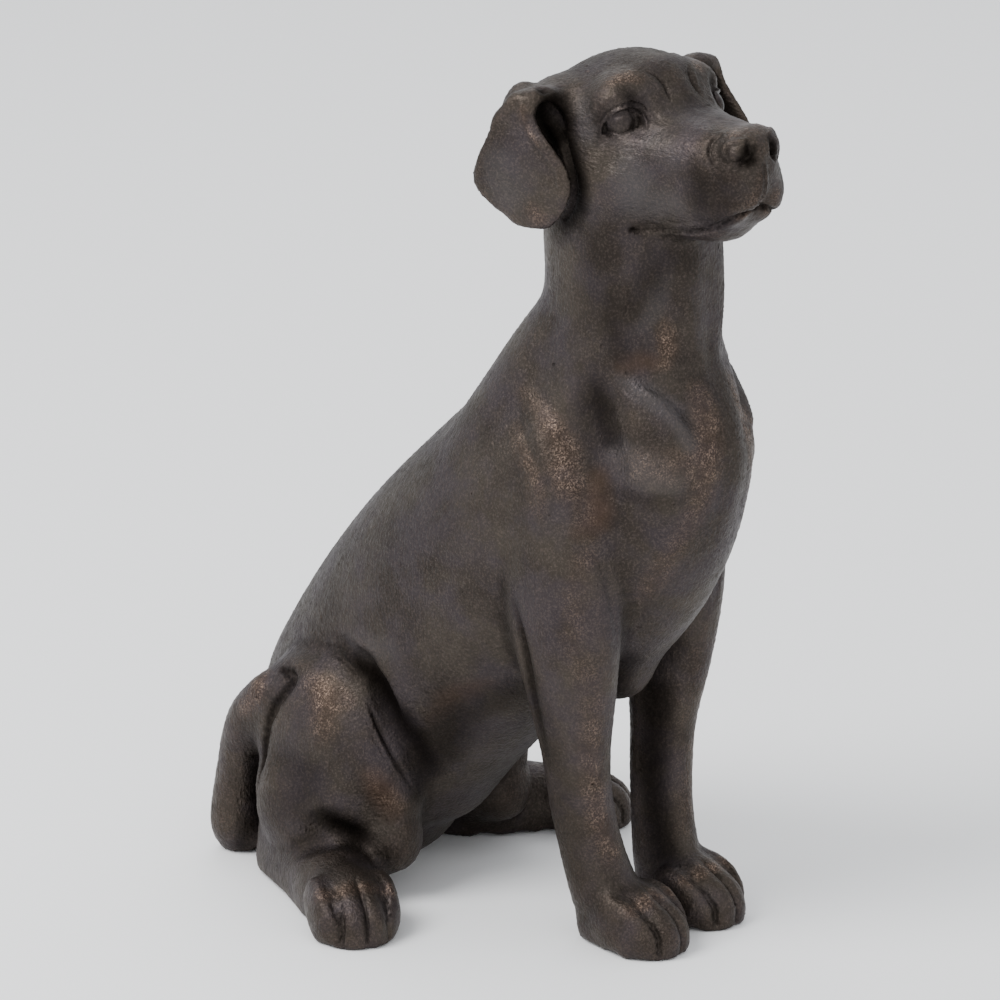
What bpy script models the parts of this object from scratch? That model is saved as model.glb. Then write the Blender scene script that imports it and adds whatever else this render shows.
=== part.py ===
"""A seated short-haired dog with pendant ears, cast in one piece.

The form is built up as a sculptor does: rolls and balls of clay are pressed together, their joins are
softened, folds and creases are pressed in, and the underside is cut flat. Places on the dog are given as
left, forward and up, in millimetres on a figure 450 mm tall, from the ground between its hind toes.
"""

import math

import bmesh
import bpy
import numpy as np
from mathutils import Matrix, Vector
from mathutils.bvhtree import BVHTree
from mathutils.kdtree import KDTree

FIGURE_HEIGHT = 0.450
UNIT = FIGURE_HEIGHT / 450

VOXEL = 2.0 * UNIT
TRIANGLES = 9600

HEAD_TURN = math.radians(13)
HEAD_AXIS = (0, 86)

# Ankle, heading outwards in degrees, width, length and height of a fore and a hind paw.
FORE_PAW = ((24.5, 89), 0, 43, 41, 33)
HIND_PAW = ((85, -33), 35, 45, 44, 32)

# Each toe from the outer one in: its middle and half width as shares of the paw's half width, and its reach.
TOES = [(0.78, 0.28, 0.85), (0.29, 0.38, 1.0), (-0.32, 0.37, 0.96), (-0.79, 0.26, 0.80)]
TOE_GROOVES = (0.60, -0.02, -0.62)

# Left, forward and up of the dog's left eye on a straight head, where it looks, and its half sizes.
EYE = (31.5, 111.5, 424)
EYE_FACING = 42
EYE_WIDTH = 8.2
EYE_HEIGHT = 7.2

STROKE_STEP = 1.0
FACE_AGREES = 0.2

BRONZE_COLOUR = (0.057, 0.044, 0.037, 1)
BRONZE_ROUGHNESS = 0.45


def at(left, forward, up):
    return Vector((left, -forward, up)) * UNIT


def on_head(left, forward, up):
    """Turns a place on a head that looks straight ahead to where it is on this one."""
    ahead = forward - HEAD_AXIS[1]
    turned_left = left * math.cos(HEAD_TURN) - ahead * math.sin(HEAD_TURN)
    turned_ahead = left * math.sin(HEAD_TURN) + ahead * math.cos(HEAD_TURN)
    return (turned_left, HEAD_AXIS[1] + turned_ahead, up)


def smooth_rows(points, spacing):
    """Rows of numbers on one smooth curve through the given ones, a spacing apart."""
    points = np.array(points, float)
    ends = np.vstack([2 * points[0] - points[1], points, 2 * points[-1] - points[-2]])
    rows = []
    for i in range(1, len(ends) - 2):
        before, start, end, after = ends[i - 1 : i + 3]
        count = max(1, math.ceil(np.linalg.norm(end[:3] - start[:3]) / spacing))
        for t in np.arange(count) / count:
            bend = 2 * start + (end - before) * t
            bend += (2 * before - 5 * start + 4 * end - after) * t**2
            bend += (3 * start - before - 3 * end + after) * t**3
            rows.append(bend / 2)
    rows.append(points[-1])
    return np.array(rows).tolist()


def ball(clay, centre, radii):
    """An egg: its centre and its half sizes to the side, forward and up."""
    place = Matrix.Translation(at(*centre)) @ Matrix.Diagonal((*(Vector(radii) * UNIT), 1))
    bmesh.ops.create_icosphere(clay, subdivisions=4, radius=1, matrix=place)


def roll(clay, stations, across=(1, 0, 0), along=None, square=2.0, blunt=1.0, sides=32, spacing=4.0):
    """A roll along a smooth path. A station is left, forward, up, half width and half depth.

    Its rings stand square to the path, or to a direction of their own. Square above 2 makes them boxier,
    and blunt below 1 makes the round ends shorter.
    """
    rows = smooth_rows(stations, spacing)
    centres = [at(*row[:3]) for row in rows]
    last = len(rows) - 1
    rings = []

    def ring(i, shift, shrink):
        ahead = Vector(along or centres[min(i + 1, last)] - centres[max(i - 1, 0)]).normalized()
        side = Vector(across)
        side = (side - side.dot(ahead) * ahead).normalized()
        front = ahead.cross(side)
        width, depth = rows[i][3] * UNIT * shrink, rows[i][4] * UNIT * shrink
        centre = centres[i] + ahead * shift * min(rows[i][3:5]) * UNIT * blunt
        found = []
        for k in range(sides):
            angle = math.tau * k / sides
            c, s = math.cos(angle), math.sin(angle)
            reach = (abs(c) ** square + abs(s) ** square) ** (-1 / square)
            found.append(clay.verts.new(centre + side * (reach * c * width) + front * (reach * s * depth)))
        rings.append(found)

    round_off = [math.pi / 2 * step / 6 for step in range(1, 6)]
    for angle in reversed(round_off):
        ring(0, -math.sin(angle), math.cos(angle))
    for i in range(len(rows)):
        ring(i, 0, 1)
    for angle in round_off:
        ring(last, math.sin(angle), math.cos(angle))
    for low, high in zip(rings, rings[1:]):
        for k in range(sides):
            clay.faces.new((low[k], low[(k + 1) % sides], high[(k + 1) % sides], high[k]))
    clay.faces.new(rings[0][::-1])
    clay.faces.new(rings[-1])


def baked(obj):
    """Applies the object's modifiers."""
    graph = bpy.context.evaluated_depsgraph_get()
    mesh = bpy.data.meshes.new_from_object(obj.evaluated_get(graph))
    old = obj.data
    obj.modifiers.clear()
    obj.data = mesh
    bpy.data.meshes.remove(old)


def press_together(obj, makers, softness):
    """Adds what the makers make to the form, fuses it into one skin and softens the joins over a length."""
    clay = bmesh.new()
    clay.from_mesh(obj.data)
    for make in makers:
        make(clay)
    bmesh.ops.recalc_face_normals(clay, faces=clay.faces)
    clay.to_mesh(obj.data)
    clay.free()
    remesh = obj.modifiers.new("fuse", "REMESH")
    remesh.mode = "VOXEL"
    remesh.voxel_size = VOXEL
    smooth = obj.modifiers.new("soften", "SMOOTH")
    smooth.factor = 0.5
    smooth.iterations = max(1, round(2 * (softness * UNIT / VOXEL) ** 2))
    baked(obj)


def trunk(clay):
    """Body and neck, the withers behind and the keel of the breast in front."""
    roll(
        clay,
        [
            (0, -94, 24, 50, 36),
            (0, -80, 60, 53, 66),
            (0, -50, 106, 57, 72),
            (0, -12, 152, 62, 74),
            (0, 26, 196, 64, 70),
            (0, 56, 234, 60, 63),
            (0, 76, 268, 50, 52),
            (0, 83, 302, 43, 47),
            (0, 85, 335, 40, 45),
            (0, 84, 362, 40, 46),
            (0, 80, 395, 36, 42),
        ],
    )
    roll(clay, [(0, 70, 355, 30, 28), (0, 66, 322, 35, 25), (0, 50, 288, 42, 31), (0, 22, 238, 53, 35)])
    roll(
        clay,
        [
            (0, 100, 352, 30, 22),
            (0, 99, 325, 34, 23),
            (0, 102, 292, 40, 30),
            (0, 110, 258, 44, 38),
            (0, 105, 232, 46, 39),
            (0, 97, 208, 44, 40),
            (0, 88, 180, 37, 36),
            (0, 80, 152, 27, 26),
            (0, 78, 134, 20, 18),
        ],
    )
    ball(clay, (0, -72, 42), (46, 44, 44))
    for side in (-1, 1):
        ball(clay, (side * 38, 66, 222), (24, 36, 54))


def skull(clay):
    ball(clay, on_head(0, 87, 408), (41, 44, 42))
    ball(clay, on_head(0, 76, 414), (44, 34, 33))
    ball(clay, on_head(0, 98, 426), (28, 24, 24))
    for side in (-1, 1):
        ball(clay, on_head(side * 28, 68, 421), (19, 22, 18))
        ball(clay, on_head(side * 20, 99, 427), (19, 17, 18))
        ball(clay, on_head(side * 26, 94, 393), (18, 32, 24))


def muzzle(clay):
    upper = [
        (0, 62, 398, 32, 26),
        (0, 84, 398, 37.5, 30),
        (0, 104, 399, 36, 28),
        (0, 124, 400, 31, 27),
        (0, 142, 400, 27, 26),
        (0, 159, 401, 23.5, 25),
    ]
    roll(clay, [(*on_head(*s[:3]), *s[3:]) for s in upper], square=2.6, blunt=0.65)
    jaw = [(0, 90, 382, 31, 15), (0, 126, 379, 24, 13), (0, 153, 379, 18.5, 12.5)]
    roll(clay, [(*on_head(*s[:3]), *s[3:]) for s in jaw], square=2.4, blunt=0.75)


def forelegs(clay):
    for side in (-1, 1):
        roll(
            clay,
            [
                (side * 34, 66, 246, 20, 32),
                (side * 42, 74, 208, 22, 33),
                (side * 44, 77, 170, 22, 31),
                (side * 41, 79, 130, 19, 24),
                (side * 37, 79, 98, 16, 18),
                (side * 34, 80, 72, 15, 17),
                (side * 30, 84, 46, 15, 17),
                (side * 27, 89, 26, 17, 18),
            ],
        )


def on_paw(side, paw, forward, sideways, up):
    """A place on a paw, forward of its ankle and to its outer side."""
    ankle, heading = paw[:2]
    heading = math.radians(heading)
    left = ankle[0] + forward * math.sin(heading) + sideways * math.cos(heading)
    ahead = ankle[1] + forward * math.cos(heading) - sideways * math.sin(heading)
    return (side * left, ahead, up)


def press_paw(clay, side, paw):
    """A domed paw with four toes side by side, the middle two longer.

    The rows are shares: along the paw, up, across and thick.
    """
    _, heading, width, length, height = paw
    half = width / 2
    across = (side * math.cos(math.radians(heading)), math.sin(math.radians(heading)), 0)
    dome = [(0.06, 0.34, 0.82, 0.64), (0.45, 0.28, 0.92, 0.70), (0.68, 0.22, 0.92, 0.60)]
    roll(
        clay,
        [(*on_paw(side, paw, length * s[0], 0, height * s[1]), half * s[2], height * s[3]) for s in dome],
        across=across,
    )
    for middle, toe_width, reach in TOES:
        shape = [(0.35, 0.94, 0.55, 0.40), (0.66, 1.0, 0.44, 0.46), (1.0, 0.96, 0.22, 0.40)]
        tip = half * toe_width * 0.9
        roll(
            clay,
            [
                (
                    *on_paw(side, paw, (length * reach - tip) * s[0], middle * half * s[1], height * s[2]),
                    half * toe_width,
                    height * s[3],
                )
                for s in shape
            ],
            across=across,
        )


def toe_grooves(side, paw):
    """The three grooves between a paw's toes, over its top and down its front.

    A row is the shares along and up, then the half width and the depth.
    """
    _, _, width, length, height = paw
    path = [
        (0.50, 1.05, 2.4, 0.3),
        (0.66, 0.95, 2.8, 1.6),
        (0.87, 0.75, 3.2, 2.6),
        (1.0, 0.45, 3.2, 2.6),
        (1.03, 0.1, 3, 2),
    ]
    return [
        [(*on_paw(side, paw, length * s[0], groove * width / 2, height * s[1]), s[2], s[3]) for s in path]
        for groove in TOE_GROOVES
    ]


def haunches(clay):
    """Thighs against the flanks, shanks folded under them and feet flat on the ground, toes out."""
    for side in (-1, 1):
        roll(
            clay,
            [
                (side * 43, -84, 70, 28, 43),
                (side * 46, -66, 80, 28, 46),
                (side * 46, -43, 64, 24, 32),
                (side * 45, -33, 51, 16, 20),
            ],
        )
        ball(clay, (side * 48, -77, 45), (32, 33, 41))
        ball(clay, (side * 49, -58, 52), (27, 32, 34))
        roll(
            clay,
            [
                (side * 48, -92, 20, 20, 22),
                (side * 47, -60, 30, 20, 24),
                (side * 46, -31, 33, 17, 21),
            ],
            across=(0.9, side * 0.3, 0),
        )
        roll(
            clay,
            [
                (side * 46, -90, 8, 24, 24),
                (side * 62, -58, 9, 25, 26),
                (side * 80, -38, 10, 22, 23),
            ],
            across=(0.85, side * 0.52, 0),
        )


def paws(clay):
    for side in (-1, 1):
        press_paw(clay, side, FORE_PAW)
        press_paw(clay, side, HIND_PAW)


def tail(clay):
    roll(
        clay,
        [
            (0, -112, 20, 18, 20),
            (-24, -130, 10, 16, 18),
            (-42, -134, 14, 14, 16),
            (-46, -131, 46, 12, 12),
            (-53, -118, 78, 12, 12),
            (-57, -100, 98, 11.5, 11.5),
        ],
        across=(0.8, 0.6, 0),
    )


def ears(clay):
    """Each ear is a leaf that hangs from a fold beside the top of the skull."""
    for side in (-1, 1):
        lift = side + 1
        fold = [(33, 70, 421, 9, 7), (46, 72, 429, 9, 7), (54, 72, 431, 7, 4.5), (58, 69, 427, 9, 3.6)]
        leaf = [
            (59.5, 69.5, 430, 8, 3.4),
            (60.5, 67, 421, 13, 3.2),
            (61, 70, 413, 17.5, 3.2),
            (61, 72, 405, 23.5, 3.2),
            (60.5, 72.5, 398, 27.5, 3.2),
            (59.5, 71, 390, 29.5, 3.2),
            (58, 70, 383, 27.5, 3.2),
            (57, 71.5, 376, 21.5, 3.2),
            (56, 74, 370, 13, 3.2),
        ]
        for stations, along in ((fold, None), (leaf, (0, 0, -1))):
            roll(
                clay,
                [(*on_head(side * s[0], s[1] + lift, s[2] + lift), *s[3:]) for s in stations],
                across=(-side * 0.12, -0.99, 0),
                along=along,
                blunt=1.2,
            )
        ball(clay, on_head(side * 47, 58, 412), (14, 12, 24))


def face(clay):
    ball(clay, on_head(0, 167, 416), (18, 14, 11.5))
    ball(clay, on_head(0, 164.5, 405), (19, 15, 17))
    for side in (-1, 1):
        ball(clay, on_head(side * 9.5, 160, 394), (12.5, 16, 17))


def around_eye(side, share):
    """A ring about an eye, a share of the eye's own size across."""
    facing = math.radians(EYE_FACING)
    ring = []
    for step in range(13):
        angle = math.tau * step / 12
        back = share * EYE_WIDTH * math.cos(angle)
        ring.append(
            on_head(
                side * (EYE[0] + back * math.cos(facing)),
                EYE[1] - back * math.sin(facing),
                EYE[2] + share * EYE_HEIGHT * math.sin(angle),
            )
        )
    return ring


def folds():
    """Grooves pressed in with a modelling tool, and ridges raised where the depth is negative.

    A stroke is left, forward, up, half width and depth, along a path that lies on the form or near it.
    """
    body = [
        # over and before the thigh
        [(48, -82, 122, 6, 0.5), (54, -66, 129, 8, 3), (57, -52, 131, 9, 4), (59, -38, 127, 9, 4)],
        [(59, -38, 127, 9, 3), (60, -29, 115, 10, 5), (60, -25, 99, 10, 3.5), (57, -21, 82, 8, 0.5)],
        # above the hind paw
        [(86, -68, 32, 8, 0.5), (79, -56, 34, 11, 4), (71, -45, 34, 10, 3), (64, -37, 33, 8, 0.5)],
        # behind the foreleg
        [(63, 60, 180, 5, 1), (63, 65, 158, 6, 3), (60, 68, 131, 6, 3), (52, 71, 100, 5, 1)],
        # beside the windpipe and down the front of the throat
        [(27, 117, 362, 9, 0.5), (29, 115, 335, 12, 2.5), (33, 114, 306, 12, 2.5), (38, 108, 292, 10, 0.5)],
        [(11, 128, 362, 7, -0.5), (11, 128, 334, 9, -1.6), (8, 129, 308, 9, -1.6), (6, 134, 290, 8, -0.5)],
        # from the neck down over the shoulder
        [(40, 98, 300, 10, 0.5), (45, 92, 281, 14, 3), (50, 84, 262, 14, 2.5), (54, 80, 246, 10, 0.5)],
        [(42, 46, 290, 9, -0.5), (51, 65, 267, 11, -2), (56, 82, 246, 11, -2), (56, 92, 224, 9, -0.5)],
        # about the plate of the breast
        [(39, 105, 299, 8, 0.5), (31, 123, 290, 10, 2.4), (20, 139, 273, 10, 2.2), (8, 146, 262, 8, 0.5)],
        [(39, 105, 297, 8, 0.5), (43, 103, 272, 12, 2.6), (45, 110, 243, 12, 2.2), (44, 112, 220, 9, 0.5)],
    ]
    head = [
        # lips, from the corner to the middle
        [(26, 117, 371, 3, 2.5), (23, 134, 373, 2.5, 2), (19, 155, 377, 2.5, 2), (14, 167, 383, 2.5, 2)],
        [(14, 167, 383, 2.5, 2), (9, 172, 387, 2.5, 2), (0, 174, 389, 2.5, 2)],
        # nose
        [(0, 182, 414, 2, 0.5), (0, 181, 404, 2.5, 1.2), (0, 179, 391, 2.5, 1)],
        [(14, 171, 420, 2.5, 1), (13, 176, 417, 3.5, 3), (11, 178, 413, 2.5, 1.5)],
        [(12, 158, 423, 3, 0.5), (17.5, 161, 417, 3.5, 2), (17, 167, 411, 3.5, 2), (9, 179, 408, 3, 1)],
        # before the eye and between the brows
        [(27, 118, 419, 4, 2), (22, 127, 417, 5, 1), (17, 134, 417, 4, 0.3)],
        [(8, 110, 444, 4, 0.3), (8, 117, 437, 4.5, 1.5), (9, 122, 431, 4, 0.3)],
    ]
    # between the tail, which lies on the right, and the haunch
    strokes = [
        [(-58, -93, 115, 4, 0.5), (-65, -80, 112, 5, 3), (-68, -84, 103, 5, 3.4), (-69, -90, 94, 5, 3)],
        [(-69, -90, 94, 5, 3), (-69, -94, 78, 4, 2), (-69, -97, 60, 4, 2), (-68, -102, 40, 4, 1)],
    ]
    for side in (-1, 1):
        strokes += [[(side * s[0], *s[1:]) for s in stroke] for stroke in body]
        strokes += [[(*on_head(side * s[0], *s[1:3]), *s[3:]) for s in stroke] for stroke in head]
        strokes.append([(*place, 3.0, 2.6) for place in around_eye(side, 1)])
        strokes += toe_grooves(side, FORE_PAW) + toe_grooves(side, HIND_PAW)
    return strokes


def press_in(obj, strokes):
    """Moves the skin along its normals, in under each stroke and out where the depth is negative."""
    skin = bmesh.new()
    skin.from_mesh(obj.data)
    surface = BVHTree.FromBMesh(skin)
    spots = KDTree(len(skin.verts))
    for vert in skin.verts:
        spots.insert(vert.co, vert.index)
    spots.balance()
    skin.verts.ensure_lookup_table()
    total = np.zeros(len(skin.verts))
    for stroke in strokes:
        deepest = {}
        for left, forward, up, half_width, depth in smooth_rows(stroke, STROKE_STEP):
            place, facing, _, _ = surface.find_nearest(at(left, forward, up))
            for _, i, away in spots.find_range(place, half_width * UNIT):
                if skin.verts[i].normal.dot(facing) < FACE_AGREES:
                    continue
                dent = depth * (1 - (away / (half_width * UNIT)) ** 2) ** 2
                if abs(dent) > abs(deepest.get(i, 0)):
                    deepest[i] = dent
        for i, dent in deepest.items():
            total[i] += dent
    for vert, dent in zip(skin.verts, total):
        vert.co -= vert.normal * float(dent) * UNIT
    skin.to_mesh(obj.data)
    skin.free()


def cut_flat(obj):
    """Cuts off what is under the ground and closes the cut."""
    clay = bmesh.new()
    clay.from_mesh(obj.data)
    cut = bmesh.ops.bisect_plane(
        clay,
        geom=clay.verts[:] + clay.edges[:] + clay.faces[:],
        plane_co=(0, 0, 0),
        plane_no=(0, 0, 1),
        clear_inner=True,
    )
    rim = [item for item in cut["geom_cut"] if isinstance(item, bmesh.types.BMEdge)]
    bmesh.ops.holes_fill(clay, edges=rim, sides=0)
    bmesh.ops.triangulate(clay, faces=clay.faces)
    clay.to_mesh(obj.data)
    clay.free()


def stand_on_middle(obj):
    """Puts the origin under the middle of the object's box."""
    corners = [Vector(corner) for corner in obj.bound_box]
    low = Vector(min(c[axis] for c in corners) for axis in range(3))
    high = Vector(max(c[axis] for c in corners) for axis in range(3))
    middle = (low + high) / 2
    obj.data.transform(Matrix.Translation((-middle.x, -middle.y, -low.z)))


def bronze():
    metal = bpy.data.materials.new("patinated_bronze")
    metal.use_nodes = True
    shader = metal.node_tree.nodes["Principled BSDF"]
    shader.inputs["Base Color"].default_value = BRONZE_COLOUR
    shader.inputs["Metallic"].default_value = 1.0
    shader.inputs["Roughness"].default_value = BRONZE_ROUGHNESS
    return metal


def main():
    for old in list(bpy.data.objects):
        bpy.data.objects.remove(old, do_unlink=True)
    dog = bpy.data.objects.new("dog_figure", bpy.data.meshes.new("dog_figure"))
    bpy.context.scene.collection.objects.link(dog)
    press_together(dog, [trunk, skull, muzzle], 7)
    press_together(dog, [forelegs, haunches], 4)
    press_together(dog, [paws, tail, face], 2.5)
    press_together(dog, [ears], 1.5)
    press_in(dog, folds())
    thin = dog.modifiers.new("facets", "DECIMATE")
    thin.ratio = TRIANGLES / (2 * len(dog.data.polygons))
    baked(dog)
    cut_flat(dog)
    stand_on_middle(dog)
    dog.data.materials.append(bronze())
    dog.data.shade_smooth()


main()
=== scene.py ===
"""A seated short-haired dog in patinated bronze: its hand-modelled skin, its patina and a plain studio.

The solid gives the form. Here a copy of it gets a finer skin, and the face, the ears, the folds and the
toes are carved as a modeller's tool leaves them. Places on the dog are given as left, forward and up, in
millimetres on a figure 450 mm tall, from the ground between its hind toes. Places on the head are those
of a head that looks straight ahead, before its turn.
"""

import math

import bpy
import numpy as np
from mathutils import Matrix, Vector, noise
from mathutils.bvhtree import BVHTree
from mathutils.kdtree import KDTree


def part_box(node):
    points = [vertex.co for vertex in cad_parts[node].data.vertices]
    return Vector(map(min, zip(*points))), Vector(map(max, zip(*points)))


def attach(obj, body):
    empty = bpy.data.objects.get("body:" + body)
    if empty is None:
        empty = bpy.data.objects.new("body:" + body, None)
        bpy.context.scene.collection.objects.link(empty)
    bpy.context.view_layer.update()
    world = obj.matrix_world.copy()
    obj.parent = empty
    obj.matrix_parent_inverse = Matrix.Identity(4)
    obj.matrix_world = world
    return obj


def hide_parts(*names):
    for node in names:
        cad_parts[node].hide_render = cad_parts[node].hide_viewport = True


bl_info = {
    "name": "Bronze dog",
    "version": (1, 0, 0),
    "blender": (4, 5, 0),
    "location": "3D View > Sidebar > Bronze dog",
    "description": "Models the skin and patina of a seated bronze dog around its solid",
    "category": "Add Mesh",
}

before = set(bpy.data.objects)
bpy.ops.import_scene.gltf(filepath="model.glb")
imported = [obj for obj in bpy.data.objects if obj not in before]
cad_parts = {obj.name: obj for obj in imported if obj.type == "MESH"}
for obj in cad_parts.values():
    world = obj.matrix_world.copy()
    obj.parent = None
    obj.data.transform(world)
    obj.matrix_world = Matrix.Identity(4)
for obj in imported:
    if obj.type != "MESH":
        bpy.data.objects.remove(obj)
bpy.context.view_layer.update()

NODE = "dog_figure"
LOW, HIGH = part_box(NODE)
# Places are drawn on a figure this tall, whose nose reaches this far forward.
DRAWN_HEIGHT = 450
NOSE_REACH = 178.4
UNIT = (HIGH.z - LOW.z) / DRAWN_HEIGHT
ORIGIN_Y = LOW.y + NOSE_REACH * UNIT
# In metres: points of the solid that are nearer than this are one point, and points of the skin that are
# lower than this lie on the underside.
MERGE_DISTANCE = 0.00001
UNDERSIDE = 0.0004

# The head is turned to the dog's right, about an upright line this far forward.
HEAD_TURN = math.radians(13)
HEAD_AXIS = 86

# A stroke is followed in steps of this length, and leaves alone any skin near it that faces another way than
# the skin it is laid on.
STROKE_STEP = 0.8
FACE_AGREES = 0.2
# The skin's faces are split under the strokes, in steps of this length, this far beyond the strokes' edges,
# and this far round the eyes.
REFINE_STEP = 2.0
REFINE_MARGIN = 2.5
REFINE_EYE = 15

# The eye: the middle between its corners, how far it faces aside and up, how its corners slope up to the
# nose, the half width of its opening, the height of its arched upper lid, and the drop of its lower lid,
# which is nearly straight.
EYE = (30.5, 111.1, 419.4)
EYE_FACING = math.radians(34)
EYE_TILT = 0.06
EYE_SLOPE = 0.25
EYE_HALF_WIDTH = 9.6
LID_RISE = 9.4
LID_DROP = 1.6
# The eyeball: its middle towards the nose and up from there, its radius, how far in its middle is set, how
# far inside its radius its finish ends, and the depth of the opening beside it.
EYEBALL_ASIDE = -1.4
EYEBALL_UP = 3.6
EYEBALL_RADIUS = 7.1
EYEBALL_SUNK = 4.4
EYEBALL_EDGE = 0.2
SOCKET_DEPTH = 3.0
# The skin that an eye moves: in a circle of this radius whose middle is this far up, this near the plane of
# the eye, and facing at least this much the same way.
EYE_REACH = 22
EYE_REACH_UP = 5
EYE_REACH_DEEP = 16
EYE_REACH_FACES = 0.1
# The ring of skin about the opening that gives the level of the eye.
LEVEL_RING = (0.5, 4)
# The swellings of the lids: height, how far outside the opening, and spread.
LID_RIM = (1.1, 1.0, 0.8)
LID_CREASE = (-0.6, 2.6, 0.6)
LID_FOLD = (0.4, 4.0, 1.0)
# The width over which the opening turns to lid, and over which the lower lid turns to the upper one.
LID_EDGE = 0.9
LID_CHANGE = 4
# The painted shade lines inside the upper lid and over it follow its arch at these sizes, through this many
# points.
LINE_IN_LID = 0.95
LINE_OVER_LID = 1.28
LINE_POINTS = 13
# The painted shade in the inner corner: towards the nose, up and half width.
SHADE_CORNER = [(7.6, 1.6, 2.0), (7.6, 4.5, 1.9), (6.0, 8.0, 1.5)]
# The painted shade line along the lower lid: places towards the nose, and how far it lies above the lid's
# edge.
LOWER_LINE = (-8, -4, 0, 4, 8)
LOWER_LINE_UP = 0.6

# The nose was modelled a little to the right of the muzzle's middle.
NOSE_ASIDE = -3.5

# The stipple's two noises: their cells in thousandths of a millimetre, level and upright, how many cells the
# fine one lies beside the coarse one, and the share of each.
COARSE_CELL = (11, 16)
FINE_CELL = (4, 8)
FINE_ASIDE = 7
COARSE_SHARE = 0.6
FINE_SHARE = 0.4


def at(left, forward, up):
    """The place in the frame of a place on the dog."""
    return Vector((left * UNIT, ORIGIN_Y - forward * UNIT, up * UNIT))


def on_head(left, forward, up):
    """Turns a place on the straight head to where it is on this one."""
    ahead = forward - HEAD_AXIS
    turned_left = left * math.cos(HEAD_TURN) - ahead * math.sin(HEAD_TURN)
    turned_ahead = left * math.sin(HEAD_TURN) + ahead * math.cos(HEAD_TURN)
    return (turned_left, HEAD_AXIS + turned_ahead, up)


def linear(colour):
    """The linear colour of an sRGB hex one."""
    parts = [int(colour[i : i + 2], 16) / 255 for i in (1, 3, 5)]
    return tuple(p / 12.92 if p <= 0.04045 else ((p + 0.055) / 1.055) ** 2.4 for p in parts)


def smooth_rows(points, spacing):
    """Rows of numbers on one smooth curve through the given ones, a spacing apart."""
    points = np.array(points, float)
    ends = np.vstack([2 * points[0] - points[1], points, 2 * points[-1] - points[-2]])
    rows = []
    for i in range(1, len(ends) - 2):
        before, start, end, after = ends[i - 1 : i + 3]
        count = max(1, math.ceil(np.linalg.norm(end[:3] - start[:3]) / spacing))
        for t in np.arange(count) / count:
            bend = 2 * start + (end - before) * t
            bend += (2 * before - 5 * start + 4 * end - after) * t**2
            bend += (3 * start - before - 3 * end + after) * t**3
            rows.append(bend / 2)
    rows.append(points[-1])
    return np.array(rows)


def both_sides(strokes, head=False, aside=0.0):
    """Mirrors strokes of the left side, moves them aside, and turns those of the head with it."""
    found = []
    for side in (-1, 1):
        for stroke in strokes:
            rows = [(side * row[0] + aside, *row[1:]) for row in stroke]
            found.append([(*on_head(*row[:3]), *row[3:]) for row in rows] if head else rows)
    return found


def eye_place(side, towards_nose, rise):
    """A place on the plane of an eye, from the middle between its corners."""
    left = EYE[0] - towards_nose * math.cos(EYE_FACING)
    forward = EYE[1] + towards_nose * math.sin(EYE_FACING)
    return on_head(side * left, forward, EYE[2] + rise)


# A stroke is a path of rows. Each row is left, forward, up, half width and depth, and a negative depth
# raises a ridge.

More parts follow.
